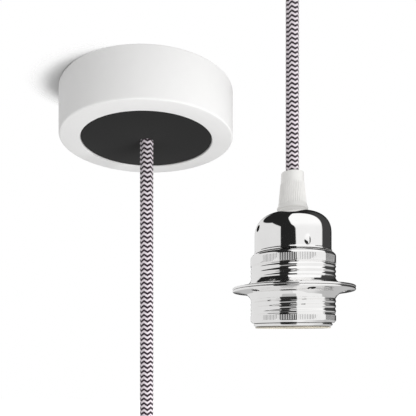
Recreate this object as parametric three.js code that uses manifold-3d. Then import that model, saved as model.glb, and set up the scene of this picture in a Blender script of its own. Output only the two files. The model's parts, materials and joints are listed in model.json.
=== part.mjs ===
// Pendant cord set: ceiling rose, fabric covered cord and screw shell lamp holder with two shade rings.
// Millimetres, +Z up. The origin is the centre of the rose's top face, at the ceiling.
import * as THREE from 'three';
import { mergeVertices } from 'three/addons/utils/BufferGeometryUtils.js';
import Module from 'manifold-3d';

const wasm = await Module();
wasm.setup();

// Driving dimensions
const GAP = 0.3;
const CORD_D = 6.3;
const BORE_R = CORD_D / 2 + 0.4;

const ROSE_R = 41;
const ROSE_H = 21.7;
const ROSE_WALL = 2.4;
const ROSE_EDGE = 1.1;
const DISC_R = 31;
const DISC_T = 1.4;
const DISC_RECESS = 0.4;

const HOLDER_X = 71.5;
const HOLDER_Y = 6;
const GRIP_TOP_Z = -34.1;
const GRIP_LIP_Z = -52.3;
const DOME_TOP_Z = -54.2;
const DOME_END_Z = -73.5;
const DOME_R = 18.3;
const SHEET = 0.75;
const SHELL_R = 18.75;
const SHELL_END_Z = -110.3;
const COLLAR_R = 20.5;
const COLLAR_IN_R = 19.3;
const FLANGE_R = 29.8;
const KNURLS = 64;
const KNURL_DEPTH = 0.3;
const VENTS = 6;
const VENT_D = 3.7;
const VENT_INSET = 4.6;
const RING_TOP_Z = -74;
const RING_JOIN_Z = -91.7;
const RING_END_Z = -108.1;
const SLEEVE_R = 13.9;
const SLEEVE_IN_R = 13.1;

const LOOP_X = 146;
const LOOP_START_Z = -157;
const COIL_Z = 95;
const TURN_PITCH = CORD_D + 0.2;
const COIL_HALF = TURN_PITCH;

// Materials
function paint(color, roughness, metalness) {
  return new THREE.MeshStandardMaterial({ color, roughness, metalness });
}
const WHITE = paint(0xeceae6, 0.42, 0);
const CHARCOAL = paint(0x333333, 0.6, 0);
const CHROME = paint(0xd9d9dc, 0.08, 1);
const STEEL = paint(0xb4b6b8, 0.35, 1);
const BRASS = paint(0xc2a25a, 0.3, 1);
const CLEAR = paint(0xdcdad4, 0.3, 0);
const IVORY = paint(0xe6dcc2, 0.45, 0);
const NYLON = paint(0xe8e8e4, 0.5, 0);
const BRAID = paint(0x857a84, 0.9, 0);
const BROWN = paint(0x6b3f24, 0.5, 0);
const BLUE = paint(0x2f5fa8, 0.5, 0);
const GREEN = paint(0x7fae3a, 0.5, 0);

// Closed meshes and their joins
function merged(geometry) {
  const g = geometry.clone();
  g.deleteAttribute('normal');
  g.deleteAttribute('uv');
  return mergeVertices(g, 1e-4);
}

function solid(geometry) {
  const g = merged(geometry);
  const vertProperties = new Float32Array(g.attributes.position.array);
  const triVerts = new Uint32Array(g.index.array);
  return new wasm.Manifold(new wasm.Mesh({ numProp: 3, vertProperties, triVerts }));
}

function surface(body) {
  const m = body.getMesh();
  const g = new THREE.BufferGeometry();
  g.setAttribute('position', new THREE.BufferAttribute(new Float32Array(m.vertProperties), 3));
  g.setIndex(new THREE.BufferAttribute(new Uint32Array(m.triVerts), 1));
  return g;
}

function joined(list) {
  return list.slice(1).reduce((a, b) => a.add(solid(b)), solid(list[0]));
}

function cut(body, tools) {
  return tools.reduce((a, b) => a.subtract(solid(b)), body);
}

// A closed ring or disc turned about the Z axis from [radius, height] points
function turned(points, segments) {
  const ring = points.map(([r, z]) => new THREE.Vector2(r, z));
  const onAxis = points[0][0] === 0 && points[points.length - 1][0] === 0;
  if (!onAxis) {
    ring.push(ring[0].clone());
  }
  let area = 0;
  for (let i = 0; i < ring.length; i += 1) {
    const a = ring[i];
    const b = ring[(i + 1) % ring.length];
    area += a.x * b.y - b.x * a.y;
  }
  if (area < 0) {
    ring.reverse();
  }
  const g = new THREE.LatheGeometry(ring, segments);
  g.rotateX(Math.PI / 2);
  return facedOut(g);
}

// Turns every triangle over when the closed mesh has its faces pointing in
function facedOut(geometry) {
  const g = merged(geometry);
  const p = g.attributes.position;
  const index = g.index.array;
  const a = new THREE.Vector3();
  const b = new THREE.Vector3();
  const c = new THREE.Vector3();
  let volume = 0;
  const kept = [];
  for (let i = 0; i < index.length; i += 3) {
    const [x, y, z] = [index[i], index[i + 1], index[i + 2]];
    if (x === y || y === z || z === x) {
      continue;
    }
    a.fromBufferAttribute(p, x);
    b.fromBufferAttribute(p, y);
    c.fromBufferAttribute(p, z);
    volume += a.dot(b.cross(c));
    kept.push(x, y, z);
  }
  if (volume < 0) {
    for (let i = 0; i < kept.length; i += 3) {
      [kept[i + 1], kept[i + 2]] = [kept[i + 2], kept[i + 1]];
    }
  }
  g.setIndex(kept);
  return g;
}

function cylinder(r, z0, z1, segments, x = 0, y = 0) {
  const g = new THREE.CylinderGeometry(r, r, Math.abs(z1 - z0), segments);
  g.rotateX(Math.PI / 2);
  g.translate(x, y, (z0 + z1) / 2);
  return g;
}

function box(x0, x1, y0, y1, z0, z1) {
  const g = new THREE.BoxGeometry(x1 - x0, y1 - y0, z1 - z0);
  g.translate((x0 + x1) / 2, (y0 + y1) / 2, (z0 + z1) / 2);
  return g;
}

function plate(points, holes, z0, z1) {
  const shape = new THREE.Shape(points.map(([x, y]) => new THREE.Vector2(x, y)));
  for (const [x, y, r, n] of holes) {
    const loop = [];
    for (let i = 0; i < n; i += 1) {
      const t = (-2 * Math.PI * i) / n;
      loop.push(new THREE.Vector2(x + r * Math.cos(t), y + r * Math.sin(t)));
    }
    shape.holes.push(new THREE.Path(loop));
  }
  const g = new THREE.ExtrudeGeometry(shape, { depth: z1 - z0, bevelEnabled: false });
  g.translate(0, 0, z0);
  return g;
}

// A round tube with flat ends along straight and curved stretches
function tube(points, r, sides, steps) {
  const path = new THREE.CatmullRomCurve3(points.map((p) => new THREE.Vector3(...p)), false, 'centripetal');
  return tubeOn(path, r, sides, steps);
}

function tubeOn(path, r, sides, steps) {
  const loop = [];
  for (let i = 0; i < sides; i += 1) {
    const t = (2 * Math.PI * (i + 0.5)) / sides;
    loop.push(new THREE.Vector2(r * Math.cos(t), r * Math.sin(t)));
  }
  const shape = new THREE.Shape(loop);
  return facedOut(new THREE.ExtrudeGeometry(shape, { steps, extrudePath: path, bevelEnabled: false }));
}

const pendant = new THREE.Group();
const rose = new THREE.Group();
const holder = new THREE.Group();
holder.position.set(HOLDER_X, HOLDER_Y, 0);
pendant.add(rose, holder);

function add(group, name, geometry, material) {
  const mesh = new THREE.Mesh(geometry, material);
  mesh.name = name;
  group.add(mesh);
  return mesh;
}

// Rose cup: round shell, open to the ceiling, with a shallow seat for the disc in its underside
const FLOOR_Z = -ROSE_H;
const SEAT_Z = FLOOR_Z + DISC_RECESS + DISC_T + GAP;
const FLOOR_T = 1.6;
const FLOOR_TOP_Z = SEAT_Z + FLOOR_T;
const GROOVE_Z = -5.5;
const GROOVE_DEPTH = 0.7;
function roseCup() {
  const e = ROSE_EDGE;
  const inner = ROSE_R - ROSE_WALL;
  const points = [
    [inner, 0], [ROSE_R, 0],
    [ROSE_R, FLOOR_Z + e], [ROSE_R - 0.3 * e, FLOOR_Z + 0.3 * e], [ROSE_R - e, FLOOR_Z],
    [DISC_R + 0.5, FLOOR_Z], [DISC_R + 0.3, FLOOR_Z + 0.3], [DISC_R + 0.3, SEAT_Z],
    [BORE_R + 0.6, SEAT_Z], [BORE_R + 0.6, FLOOR_TOP_Z], [inner - 1, FLOOR_TOP_Z],
    [inner, FLOOR_TOP_Z + 1], [inner, GROOVE_Z - 1.7], [inner + GROOVE_DEPTH, GROOVE_Z - 0.9],
    [inner + GROOVE_DEPTH, GROOVE_Z + 0.9], [inner, GROOVE_Z + 1.7],
  ];
  add(rose, 'rose_cup', turned(points, 48), WHITE);
}
roseCup();

function roseDisc() {
  const z0 = FLOOR_Z + DISC_RECESS;
  const z1 = z0 + DISC_T;
  const points = [
    [BORE_R, z0 + 0.3], [BORE_R + 0.3, z0], [DISC_R - 0.3, z0], [DISC_R, z0 + 0.3],
    [DISC_R, z1], [BORE_R, z1],
  ];
  add(rose, 'rose_disc', turned(points, 48), CHARCOAL);
}
roseDisc();

// Ceiling strap with two turned down ears whose beads snap into the cup's groove
const STRAP_W = 16;
const STRAP_T = 1.4;
const STRAP_TOP_Z = -0.2;
const EAR_T = 1.2;
const EAR_DROP = 8.4;
const BEAD_R = 1.1;
const BEAD_FIT = 0.4;
const SCREW_SLOT = [10, 3.8];
function ceilingStrap() {
  const reach = ROSE_R - ROSE_WALL - BEAD_FIT - BEAD_R - GAP;
  const half = STRAP_W / 2;
  const under = STRAP_TOP_Z - STRAP_T;
  const flat = plate(
    [[-reach, -half], [reach, -half], [reach, half], [-reach, half]],
    [[-0.38 * reach, 0, 1.6, 12]],
    under, STRAP_TOP_Z,
  );
  const ends = [];
  const slots = [];
  for (const side of [-1, 1]) {
    const x0 = Math.min(side * reach, side * (reach - EAR_T));
    ends.push(box(x0, x0 + EAR_T, -half, half, under - EAR_DROP, under + STRAP_T / 2));
    const bead = new THREE.CylinderGeometry(BEAD_R, BEAD_R, half, 10);
    bead.translate(side * (reach + GAP), 0, GROOVE_Z);
    ends.push(bead);
    const [long, wide] = SCREW_SLOT;
    const x = side * 0.68 * reach;
    slots.push(box(x - long / 2, x + long / 2, -wide / 2, wide / 2, under - 0.6, STRAP_TOP_Z + 0.6));
  }
  add(rose, 'ceiling_strap', surface(cut(joined([flat, ...ends]), slots)), STEEL);
}
ceilingStrap();

// Cord clamp on the floor of the cup: saddle, bar and two screws
const CLAMP_Z = FLOOR_TOP_Z + GAP;
const CLAMP_X = 12;
const CLAMP_Y = 5;
const CLAMP_H = 7.4;
const CLAMP_SCREW_X = CLAMP_X - 3.5;
const CLAMP_SCREW_Z = CLAMP_Z + 4.8;
function cordClamp() {
  const top = CLAMP_Z + CLAMP_H;
  const saddle = joined([
    box(-CLAMP_X, CLAMP_X, -CLAMP_Y, CLAMP_Y, CLAMP_Z, CLAMP_Z + 2),
    box(-CLAMP_X, -CLAMP_Y, 0.4, CLAMP_Y, CLAMP_Z + 1, top),
    box(CLAMP_Y, CLAMP_X, 0.4, CLAMP_Y, CLAMP_Z + 1, top),
    box(-CLAMP_X, CLAMP_X, CLAMP_Y - 2.2, CLAMP_Y, CLAMP_Z + 1, top),
  ]);
  const bore = cylinder(BORE_R, CLAMP_Z - 1, top + 1.6, 24);
  const holes = [-CLAMP_SCREW_X, CLAMP_SCREW_X].map((x) => {
    const g = new THREE.CylinderGeometry(1.55, 1.55, 12, 12);
    g.translate(x, 2, CLAMP_SCREW_Z);
    return g;
  });
  add(rose, 'cord_clamp_saddle', surface(cut(saddle, [bore, ...holes])), NYLON);
  const low = CLAMP_Z + 2.4;
  const bar = joined([
    box(-CLAMP_X, CLAMP_X, -CLAMP_Y, -2.4, low, top - 0.2),
    box(-CLAMP_X, 0.1 - CLAMP_Y, -3, 0, low, top - 0.2),
    box(CLAMP_Y - 0.1, CLAMP_X, -3, 0, low, top - 0.2),
  ]);
  const barHoles = [-CLAMP_SCREW_X, CLAMP_SCREW_X].map((x) => {
    const g = new THREE.CylinderGeometry(1.55, 1.55, 12, 12);
    g.translate(x, -3, CLAMP_SCREW_Z);
    return g;
  });
  add(rose, 'cord_clamp_bar', surface(cut(bar, [bore, ...barHoles])), NYLON);
  [-CLAMP_SCREW_X, CLAMP_SCREW_X].forEach((x, i) => {
    const shank = new THREE.CylinderGeometry(1.25, 1.25, 10, 12);
    shank.translate(x, 4.1 - CLAMP_Y, CLAMP_SCREW_Z);
    const head = new THREE.CylinderGeometry(2.2, 2.2, 1.6, 14);
    head.translate(x, -CLAMP_Y - 1.1, CLAMP_SCREW_Z);
    const slot = box(x - 3, x + 3, -CLAMP_Y - 3, -CLAMP_Y - 1.3, CLAMP_SCREW_Z - 0.3, CLAMP_SCREW_Z + 0.3);
    add(rose, `clamp_screw_${i + 1}`, surface(cut(joined([shank, head]), [slot])), STEEL);
  });
}
cordClamp();

// Terminal block beside the clamp, with a brass post and two screws for each conductor
const BLOCK_Y = 19;
const BLOCK_Z = CLAMP_Z;
const BLOCK_H = 9;
const BLOCK_DEPTH = 14;
const POLE_PITCH = 10;
const POST_R = 2.3;
const BLOCK_END = POLE_PITCH + POST_R + 3.2;
const POST_Z = BLOCK_Z + POST_R + 1.7;
const SCREW_Y = 3.2;
const POLES = [[-POLE_PITCH, BROWN, 'live'], [0, GREEN, 'earth'], [POLE_PITCH, BLUE, 'neutral']];
function terminalBlock() {
  const y0 = BLOCK_Y - BLOCK_DEPTH / 2;
  const y1 = BLOCK_Y + BLOCK_DEPTH / 2;
  const top = BLOCK_Z + BLOCK_H;
  const body = joined([box(-BLOCK_END, BLOCK_END, y0, y1, BLOCK_Z, top)]);
  const cuts = [];
  for (const [x] of POLES) {
    const bore = new THREE.CylinderGeometry(POST_R + GAP, POST_R + GAP, 2 * BLOCK_DEPTH, 16);
    bore.translate(x, BLOCK_Y, POST_Z);
    cuts.push(bore);
    cuts.push(cylinder(1.9, POST_Z, top + 3, 12, x, BLOCK_Y - SCREW_Y));
    cuts.push(cylinder(1.9, POST_Z, top + 3, 12, x, BLOCK_Y + SCREW_Y));
  }
  for (const x of [-POLE_PITCH / 2, POLE_PITCH / 2]) {
    cuts.push(box(x - 0.8, x + 0.8, y0 - 2, y1 + 2, top - 2.8, top + 3));
  }
  add(rose, 'terminal_block', surface(cut(body, cuts)), NYLON);
  for (const [x, , pole] of POLES) {
    const post = new THREE.CylinderGeometry(POST_R, POST_R, BLOCK_DEPTH - 2, 16);
    post.translate(x, BLOCK_Y, POST_Z);
    const hole = new THREE.CylinderGeometry(1.35, 1.35, BLOCK_DEPTH, 12);
    hole.translate(x, BLOCK_Y, POST_Z);
    add(rose, `terminal_${pole}`, surface(cut(solid(post), [hole])), BRASS);
    [-SCREW_Y, SCREW_Y].forEach((dy, i) => {
      const z0 = POST_Z + POST_R + 0.4;
      const screw = solid(cylinder(1.5, z0, z0 + 1.9, 12, x, BLOCK_Y + dy));
      const slot = box(x - 2, x + 2, BLOCK_Y + dy - 0.25, BLOCK_Y + dy + 0.25, z0 + 1.2, z0 + 3);
      add(rose, `terminal_${pole}_screw_${i + 1}`, surface(cut(screw, [slot])), STEEL);
    });
  }
}
terminalBlock();

// Conductors from the end of the cord jacket to the terminal block
const ROSE_CORD_END_Z = CLAMP_Z + 9;
function roseWires() {
  POLES.forEach(([x, material, pole], i) => {
    const sx = (i - 1) * 1.9;
    const sy = i === 1 ? -1.3 : 1.2;
    const z = ROSE_CORD_END_Z;
    const wire = tube([
      [sx, sy, z + GAP],
      [sx, sy + 0.2, z + 2],
      [sx + (x - sx) * 0.25, sy + 3.2, z + 4.3 - 0.3 * i],
      [x * 0.85, BLOCK_Y - 11.5, z + 0.5],
      [x, BLOCK_Y - 8.2, POST_Z + 0.4],
      [x, BLOCK_Y - 4.4, POST_Z],
      [x, BLOCK_Y - 1, POST_Z],
    ], 0.95, 8, 14);
    add(rose, `rose_wire_${pole}`, wire, material);
  });
}
roseWires();

// Ribbed cord grip above the holder
const GRIP_TOP_R = 5.5;
const GRIP_LIP_R = 7.5;
const NECK_OUT_R = 5.3;
const GRIP_RIBS = 20;
function gripBody() {
  const top = GRIP_TOP_Z;
  const end = GRIP_LIP_Z;
  const a = GRIP_TOP_R;
  const b = GRIP_LIP_R;
  const points = [
    [BORE_R, top - 0.4], [BORE_R + 0.4, top], [a - 0.5, top], [a - 0.05, top - 0.5], [a, top - 3.6],
    [a + 0.3, top - 4.9], [b - 0.9, end + 3.2], [b - 0.4, end + 1.7], [b, end + 0.8], [b, end + 0.3],
    [b - 0.35, end], [NECK_OUT_R + GAP, end], [NECK_OUT_R + GAP, end + 7.2], [BORE_R, end + 8.6],
  ];
  const ribs = [];
  const length = top - end - 7;
  for (let i = 0; i < GRIP_RIBS; i += 1) {
    const t = (2 * Math.PI * i) / GRIP_RIBS;
    const rib = new THREE.BoxGeometry(0.7, 0.7, length);
    rib.rotateY(-Math.atan((b - 0.9 - a - 0.3) / (top - end - 8.1)));
    rib.translate((a + b) / 2 - 0.4, 0, (top + end) / 2 - 0.8);
    rib.rotateZ(t);
    ribs.push(rib);
  }
  add(holder, 'cord_grip', surface(joined([turned(points, 24), ...ribs])), CLEAR);
}
gripBody();

// Hollow neck that joins the grip to the dome, and its lock nut inside the dome
const ENTRY_R = 5.35;
function gripNeck() {
  const z = GRIP_LIP_Z - GAP;
  const points = [
    [BORE_R, z + 7], [NECK_OUT_R, z + 7], [NECK_OUT_R, z], [GRIP_LIP_R - 0.3, z],
    [GRIP_LIP_R - 0.3, DOME_TOP_Z + GAP], [ENTRY_R - 0.35, DOME_TOP_Z + GAP],
    [ENTRY_R - 0.35, DOME_TOP_Z - 6], [BORE_R, DOME_TOP_Z - 6],
  ];
  add(holder, 'grip_neck', turned(points, 24), CLEAR);
}
gripNeck();

function lockNut() {
  const z1 = DOME_TOP_Z - SHEET - GAP;
  const hex = [];
  for (let i = 0; i < 6; i += 1) {
    hex.push([8.6 * Math.cos((Math.PI / 3) * i), 8.6 * Math.sin((Math.PI / 3) * i)]);
  }
  add(holder, 'lock_nut', facedOut(plate(hex, [[0, 0, ENTRY_R, 24]], z1 - 3, z1)), STEEL);
}
lockNut();

// Dome cap: spun sheet with a round screw hole and a lanced catch
function domeCap() {
  const r = DOME_R;
  const t = DOME_TOP_Z;
  const e = DOME_END_Z;
  const s = SHEET;
  const outer = [
    [ENTRY_R, t], [r - 8.9, t - 0.15], [r - 6, t - 0.8], [r - 4, t - 1.9], [r - 2.4, t - 3.4],
    [r - 1, t - 5.9], [r - 0.1, t - 9.2], [r, e + 3.0],
    [r + 0.28, e + 2.2], [r + 0.28, e + 0.8], [r + 0.05, e],
  ];
  const inner = [
    [r - s, e], [r - s - 0.1, t - 9.3], [r - 1.7, t - 6.2], [r - 3, t - 4.0],
    [r - 4.5, t - 2.6], [r - 6.3, t - 1.6], [r - 9, t - 0.9], [ENTRY_R, t - s],
  ];
  const hole = new THREE.CylinderGeometry(1.7, 1.7, 8, 14);
  hole.rotateZ(Math.PI / 2);
  hole.translate(r - 0.8, 0, t - 8.1);
  hole.rotateZ((-154 * Math.PI) / 180);
  const lance = box(r - 2.3, r + 1.7, -0.45, 0.45, t - 15.8, t - 10.6);
  lance.rotateZ((-60 * Math.PI) / 180);
  const catchTab = new THREE.SphereGeometry(1.7, 10, 8);
  catchTab.scale(0.62, 1, 1.7);
  catchTab.translate(r - 0.35, 0, t - 13.2);
  catchTab.rotateZ((-66.5 * Math.PI) / 180);
  const body = solid(turned([...outer, ...inner], 36)).add(solid(catchTab));
  const clear = turned([[0, e - 1], [r - s - 0.25, e - 1], [r - s - 0.25, t - 10], [0, t - 10]], 36);
  add(holder, 'dome_cap', surface(cut(body, [hole, lance, clear])), CHROME);
}
domeCap();

// Threaded shell: neck inside the dome, shoulder, external thread as rolled ridges, plain rim
const SHELL_TOP_Z = DOME_TOP_Z - 11.7;
const NECK_R = DOME_R - SHEET - 0.75;
function threadedShell() {
  const r = SHELL_R;
  const e = SHELL_END_Z;
  const outer = [[NECK_R, SHELL_TOP_Z], [NECK_R, DOME_END_Z - 0.4], [r - 0.4, DOME_END_Z - 0.4]];
  const pitch = 4;
  for (let z = DOME_END_Z - 1.6; z > RING_END_Z + 2; z -= pitch) {
    outer.push([r - 0.45, z], [r + 0.2, z - 0.6 * pitch]);
  }
  outer.push([r - 0.45, RING_END_Z + 0.2], [r, RING_END_Z - 0.3], [r, e + 0.5], [r - 0.4, e]);
  const inner = [
    [r - 0.8, e], [r - 1.2, e + 0.4], [r - 1.2, DOME_END_Z - 1.4],
    [NECK_R - 0.8, DOME_END_Z - 0.6], [NECK_R - 0.8, SHELL_TOP_Z],
  ];
  add(holder, 'threaded_shell', turned([...outer, ...inner], 30), CHROME);
}
threadedShell();

// Shade ring: knurled collar, rolled thread and a flange with round vents
const BAND_START = 0.05;
const BAND_END = 0.25;
function knurledBand(z0, z1) {
  const points = [];
  for (let i = 0; i < KNURLS * 2; i += 1) {
    const r = COLLAR_R + 0.25 - (i % 2) * KNURL_DEPTH;
    const t = (Math.PI * i) / KNURLS;
    points.push([r * Math.cos(t), r * Math.sin(t)]);
  }
  return facedOut(plate(points, [[0, 0, COLLAR_R - 0.6, 34]], z0, z1));
}

// The profile of one ring, from its knurled end (0) to the face where the two rings meet (length)
const THREAD_DEPTH = 0.45;
const THREAD_CRESTS = 3;
const FLANGE_T = 1;
function ringProfile(length) {
  const c = COLLAR_R;
  const f = FLANGE_R;
  const at = (share) => share * length;
  const outer = [[c - 0.95, 0], [c - 0.1, at(0.035)], [c - 0.1, BAND_END * length], [c - 0.38, at(0.28)]];
  const step = at(0.69 - 0.28) / THREAD_CRESTS;
  for (let i = 0; i < THREAD_CRESTS; i += 1) {
    const h = at(0.28) + i * step;
    outer.push([c + 0.05, h + 0.4 * step], [c + 0.05 - THREAD_DEPTH, h + 0.9 * step]);
  }
  outer.push(
    [c, at(0.74)], [c + 0.7, at(0.79)], [c + 2.4, at(0.84)], [f - 4.8, at(0.88)],
    [f - 1.2, length - FLANGE_T - 0.5], [f, length - FLANGE_T], [f, length - 0.3], [f - 0.3, length],
  );
  const inner = [
    [f - 1.2, length], [f - 1.9, at(0.965)], [f - 5.2, at(0.925)], [c + 1.5, at(0.87)], [c - 0.5, at(0.77)],
    [COLLAR_IN_R, at(0.68)], [COLLAR_IN_R, at(0.025)], [COLLAR_IN_R + 0.2, 0],
  ];
  return [...outer, ...inner];
}

function shadeRing(name, endZ, jointZ, turn) {
  const dir = jointZ < endZ ? -1 : 1;
  const length = Math.abs(jointZ - endZ);
  const profile = ringProfile(length).map(([r, h]) => [r, endZ + dir * h]);
  const band = [BAND_START, BAND_END].map((share) => endZ + dir * share * length).sort((a, b) => a - b);
  const body = solid(turned(profile, 34)).add(solid(knurledBand(band[0], band[1])));
  const vents = [];
  for (let i = 0; i < VENTS; i += 1) {
    const vent = cylinder(VENT_D / 2, jointZ - 3.5, jointZ + 3.5, 14, FLANGE_R - VENT_INSET, 0);
    vent.rotateZ(turn + (2 * Math.PI * i) / VENTS);
    vents.push(vent);
  }
  add(holder, name, surface(cut(body, vents)), CHROME);
}
shadeRing('shade_ring_upper', RING_TOP_Z, RING_JOIN_Z + GAP / 2, -1.41);
shadeRing('shade_ring_lower', RING_END_Z, RING_JOIN_Z - GAP / 2, -1.22);

// Ivory insulating insert that carries the screw sleeve, with two through holes for the contacts
const INSERT_R = SHELL_R - 1.2 - GAP;
const INSERT_END_Z = SHELL_END_Z + 0.1;
const INSERT_TOP_Z = DOME_END_Z - 5.5;
const SLEEVE_TOP_Z = INSERT_TOP_Z - 5;
function insulatingInsert() {
  const points = [
    [0, INSERT_TOP_Z], [NECK_R - 1.2, INSERT_TOP_Z], [INSERT_R, INSERT_TOP_Z - 0.8],
    [INSERT_R, INSERT_END_Z + 0.6], [INSERT_R - 0.5, INSERT_END_Z], [SLEEVE_R + 0.7, INSERT_END_Z],
    [SLEEVE_R + GAP, INSERT_END_Z + 0.5], [SLEEVE_R + GAP, SLEEVE_TOP_Z + GAP], [9, SLEEVE_TOP_Z + GAP],
    [9, SLEEVE_TOP_Z + 1.2], [0, SLEEVE_TOP_Z + 1.2],
  ];
  const holes = [
    cylinder(1.6, INSERT_TOP_Z + 2, SLEEVE_TOP_Z - 2, 12, 0, 0),
    cylinder(1.6, INSERT_TOP_Z + 2, SLEEVE_TOP_Z - 2, 12, 10.6, 0),
  ];
  add(holder, 'insulating_insert', surface(cut(solid(turned(points, 36)), holes)), IVORY);
}
insulatingInsert();

// Screw sleeve with a round rolled thread, open at the bottom
function screwSleeve() {
  const z0 = SLEEVE_TOP_Z;
  const z1 = INSERT_END_Z + 1.4;
  const a = SLEEVE_IN_R;
  const wall = 0.45;
  const turns = 4;
  const step = (z0 - z1 - 1.4) / turns;
  const inside = [];
  for (let i = 0; i <= turns * 2; i += 1) {
    inside.push([a + (i % 2) * 0.55 - 0.3, z0 - 0.7 - (i * step) / 2]);
  }
  inside[0][0] = a;
  const outside = inside.map(([r, z]) => [r + wall, z]).reverse();
  const points = [
    [8.6, z0], [a + wall, z0], ...outside.slice().reverse(), [a + wall, z1], [a, z1],
    ...inside.slice().reverse(), [a, z0 - 0.5], [8.6, z0 - 0.5],
  ];
  add(holder, 'screw_sleeve', turned(points, 24), BRASS);
}
screwSleeve();

// Centre contact, its rivet, the sleeve contact's rivet, and the two terminals on top
function contacts() {
  const t = SLEEVE_TOP_Z;
  const spring = joined([
    box(-3.2, 3.2, -2.6, 2.6, t + 0.3, t + 0.9),
    box(-3.2, -2.6, -2.6, 2.6, t - 2.2, t + 0.7),
    box(-3.2, 3.4, -2.6, 2.6, t - 2.8, t - 2.1),
  ]);
  const rivetHole = cylinder(1.55, t - 0.4, t + 2, 12);
  add(holder, 'centre_contact', surface(cut(spring, [rivetHole])), BRASS);
  const top = INSERT_TOP_Z;
  [[0, 'live', 90], [10.6, 'neutral', 0]].forEach(([x, pole]) => {
    const low = pole === 'live' ? t - 0.3 : t + 0.6;
    const rivet = cylinder(1.25, low, top + 0.9, 12, x, 0);
    const foot = box(x - 2.4, x + 2.4, -2.4, 2.4, top + GAP, top + 1.1);
    const side = box(x - 2.4, x + 2.4, -2.9, -2.1, top + GAP, top + 6.4);
    const y0 = -3.4;
    const screwHole = new THREE.CylinderGeometry(1.45, 1.45, 8, 12);
    screwHole.translate(x, y0 + 1, top + 4.1);
    add(holder, `holder_terminal_${pole}`, surface(cut(joined([rivet, foot, side]), [screwHole])), BRASS);
    const shank = new THREE.CylinderGeometry(1.15, 1.15, 3.1, 12);
    shank.translate(x, -2.85, top + 4.1);
    const head = new THREE.CylinderGeometry(2, 2, 1.3, 14);
    head.translate(x, -4.0, top + 4.1);
    const slot = box(x - 3, x + 3, -6, -4.2, top + 3.85, top + 4.35);
    add(holder, `holder_screw_${pole}`, surface(cut(joined([shank, head]), [slot])), STEEL);
  });
  const earth = joined([
    box(-15.2, -14.4, -2, 2, top + GAP, top + 6.2),
    box(-15.2, -10.8, -2, 2, top + GAP, top + 1.0),
  ]);
  add(holder, 'holder_terminal_earth', surface(earth), BRASS);
}
contacts();

// Conductors from the cord end inside the dome to the terminals
const HOLDER_CORD_END_Z = DOME_TOP_Z - 8;
function holderWires() {
  const z = HOLDER_CORD_END_Z - GAP;
  const top = INSERT_TOP_Z;
  const runs = [
    ['live', BROWN, [[0, 1.5, z], [0, 1.6, z - 3], [0.3, 1.2, top + 6.5], [0, 0.2, top + 4.4],
      [0, 0.2, top + 2.3]]],
    ['neutral', BLUE, [[1.7, -1.1, z], [2.4, -1.2, z - 2.5], [7.6, -1.0, z - 5], [10.4, 0, top + 5.4],
      [10.6, 0.2, top + 2.3]]],
    ['earth', GREEN, [[-1.7, -1.1, z], [-2.4, -1.1, z - 2.5], [-8.2, -0.6, z - 5], [-12.4, 0, top + 5],
      [-12.9, 0, top + 2.3]]],
  ];
  for (const [pole, material, points] of runs) {
    add(holder, `holder_wire_${pole}`, tube(points, 0.9, 8, 10), material);
  }
}
holderWires();

// Cord run: straight down from the rose, round the hanging loop and up to the coil
const COIL_X = (HOLDER_X + LOOP_X) / 2;
const COIL_Y = HOLDER_Y - TURN_PITCH / 2;
const LOOP_Y = HOLDER_Y - TURN_PITCH;
const TANGENT_R = (LOOP_X - HOLDER_X) / 2;
const COIL_R = TANGENT_R - TURN_PITCH / 2;
const COIL_OUT = COIL_R + COIL_HALF;
const r2 = CORD_D / 2;
const MEET_Z = COIL_Z - Math.sqrt(COIL_OUT ** 2 - (TANGENT_R - r2) ** 2) - GAP;
class CordRoute extends THREE.Curve {
  constructor() {
    super();
    this.down = ROSE_CORD_END_Z - LOOP_START_Z;
    this.bend = (Math.PI * LOOP_X) / 2;
    this.up = MEET_Z - LOOP_START_Z;
    this.total = this.down + this.bend + this.up;
  }

  getPoint(t, target = new THREE.Vector3()) {
    const s = t * this.total;
    const radius = LOOP_X / 2;
    if (s <= this.down) {
      return target.set(0, 0, ROSE_CORD_END_Z - s);
    }
    if (s <= this.down + this.bend) {
      const a = (s - this.down) / radius;
      const y = (LOOP_Y * (1 - Math.cos(a))) / 2;
      return target.set(radius - radius * Math.cos(a), y, LOOP_START_Z - radius * Math.sin(a));
    }
    return target.set(LOOP_X, LOOP_Y, LOOP_START_Z + s - this.down - this.bend);
  }
}

function cordRuns() {
  add(pendant, 'cord_drop', tubeOn(new CordRoute(), r2, 10, 42), BRAID);
  const top = new THREE.Vector3(HOLDER_X, HOLDER_Y, MEET_Z);
  const low = new THREE.Vector3(HOLDER_X, HOLDER_Y, HOLDER_CORD_END_Z);
  add(pendant, 'cord_riser', tubeOn(new THREE.LineCurve3(top, low), r2, 10, 8), BRAID);
}
cordRuns();

// Spare length wound in a neat round coil that stands upright above the holder
function cordCoil() {
  const c = 2.4;
  const h = COIL_HALF;
  const r = COIL_R;
  const points = [
    [r - h, -h + c], [r - h + c, -h], [r + h - c, -h], [r + h, -h + c],
    [r + h, h - c], [r + h - c, h], [r - h + c, h], [r - h, h - c],
  ];
  const g = turned(points, 40);
  g.rotateX(Math.PI / 2);
  g.translate(COIL_X, COIL_Y, COIL_Z);
  add(pendant, 'cord_coil', facedOut(g), BRAID);
}
cordCoil();

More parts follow.
